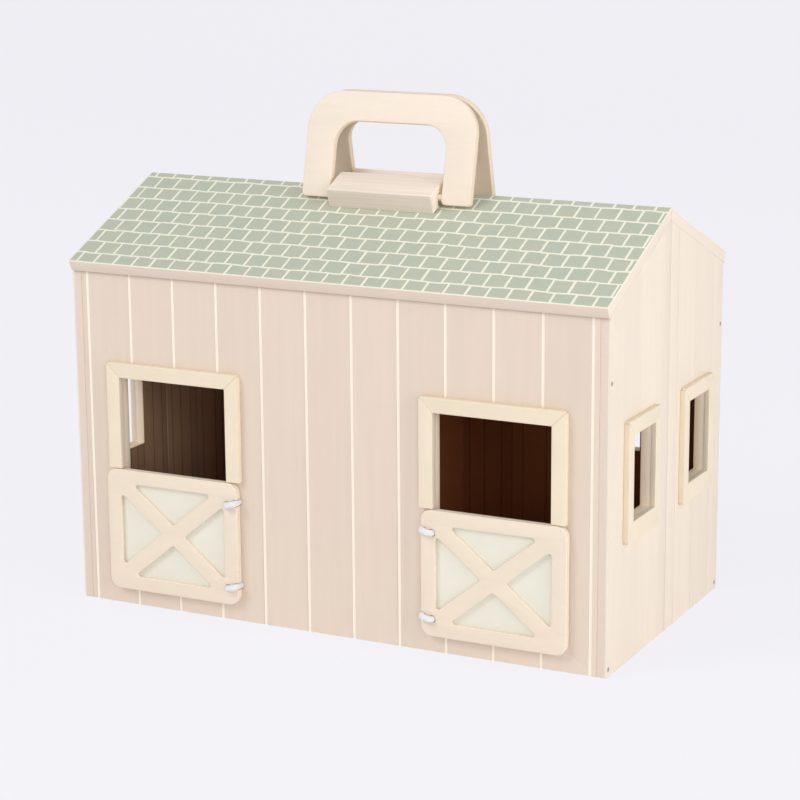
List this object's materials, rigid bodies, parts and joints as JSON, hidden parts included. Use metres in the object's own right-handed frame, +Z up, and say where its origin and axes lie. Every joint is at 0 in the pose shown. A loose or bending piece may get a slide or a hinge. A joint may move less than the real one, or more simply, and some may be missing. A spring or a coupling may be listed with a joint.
{
  "type": "toy barn with opening doors",
  "caption": "Toy stable that folds open along its ridge, with X-braced half-doors on elastic cords, framed windows, a shingle-patterned roof and folding carrying handles.",
  "frame": {"origin": "centre of the footprint on the surface that the barn stands on, in the middle of the seam between the two halves", "axes": "+X along the ridge to the right end as seen from the front, +Y from the front wall to the rear wall, +Z up"},
  "size_m": [0.357, 0.1975, 0.3131],
  "materials": {
    "planks": "smooth board painted warm cream, with upright grooves",
    "trim": "painted cream strips, slightly worn at the edges",
    "door_panel": "painted cream board",
    "shingles": "board printed with sage green shingles in cream outline",
    "bare_board": "bare brown fibreboard",
    "handle": "pale plywood with its layers showing at the edges",
    "block": "pale solid wood",
    "cord": "braided white elastic",
    "hinge": "small plated butt hinge",
    "hinge_screw": "countersunk screw",
    "steel": "bright steel"
  },
  "bodies": {
    "front_half": {"front_floor": "bare_board", "front_wall": "planks", "front_left_end": "planks", "front_right_end": "planks", "front_roof": "shingles", "front_divider": "bare_board", "left_door_casing": "trim", "right_door_casing": "trim", "front_left_window_casing": "trim", "front_right_window_casing": "trim", "front_brads": "steel", "front_handle_block": "block", "front_block_screws": "steel", "left_door_cords": "cord", "right_door_cords": "cord", "front_hinge_leaves": "hinge", "hinge_pins": "steel", "front_hinge_screws": "hinge_screw"},
    "rear_half": {"rear_floor": "bare_board", "rear_wall": "planks", "rear_left_end": "planks", "rear_right_end": "planks", "rear_roof": "shingles", "rear_divider": "bare_board", "rear_wall_casings": "trim", "rear_right_window_casing": "trim", "rear_brads": "steel", "rear_handle_block": "block", "rear_block_screws": "steel", "rear_hinge_leaves": "hinge", "rear_hinge_screws": "hinge_screw"},
    "left_door": {"left_door_panel": "door_panel", "left_door_frame": "trim"},
    "right_door": {"right_door_panel": "door_panel", "right_door_frame": "trim"},
    "front_handle": {"front_handle": "handle"},
    "rear_handle": {"rear_handle": "handle"}
  },
  "joints": [
    {"name": "fold_open", "type": "hinge", "parent": "front_half", "child": "rear_half", "pos_m": [-0.1769, 0, 0], "axis": [0, 0, 1], "range_deg": [0, 168]},
    {"name": "left_door_hinge", "type": "hinge", "parent": "front_half", "child": "left_door", "pos_m": [-0.0612, -0.0968, 0.05], "axis": [0, 0, 1], "range_deg": [0, 120], "deforming": ["left_door_cords"]},
    {"name": "right_door_hinge", "type": "hinge", "parent": "front_half", "child": "right_door", "pos_m": [0.0612, -0.0968, 0.05], "axis": [0, 0, -1], "range_deg": [0, 120], "deforming": ["right_door_cords"]},
    {"name": "front_handle_fold", "type": "hinge", "parent": "front_half", "child": "front_handle", "pos_m": [0, -0.01572, 0.25407], "axis": [1, 0, 0], "range_deg": [0, 128]},
    {"name": "rear_handle_fold", "type": "hinge", "parent": "rear_half", "child": "rear_handle", "pos_m": [0, 0.01572, 0.25407], "axis": [-1, 0, 0], "range_deg": [0, 128]}
  ]
}
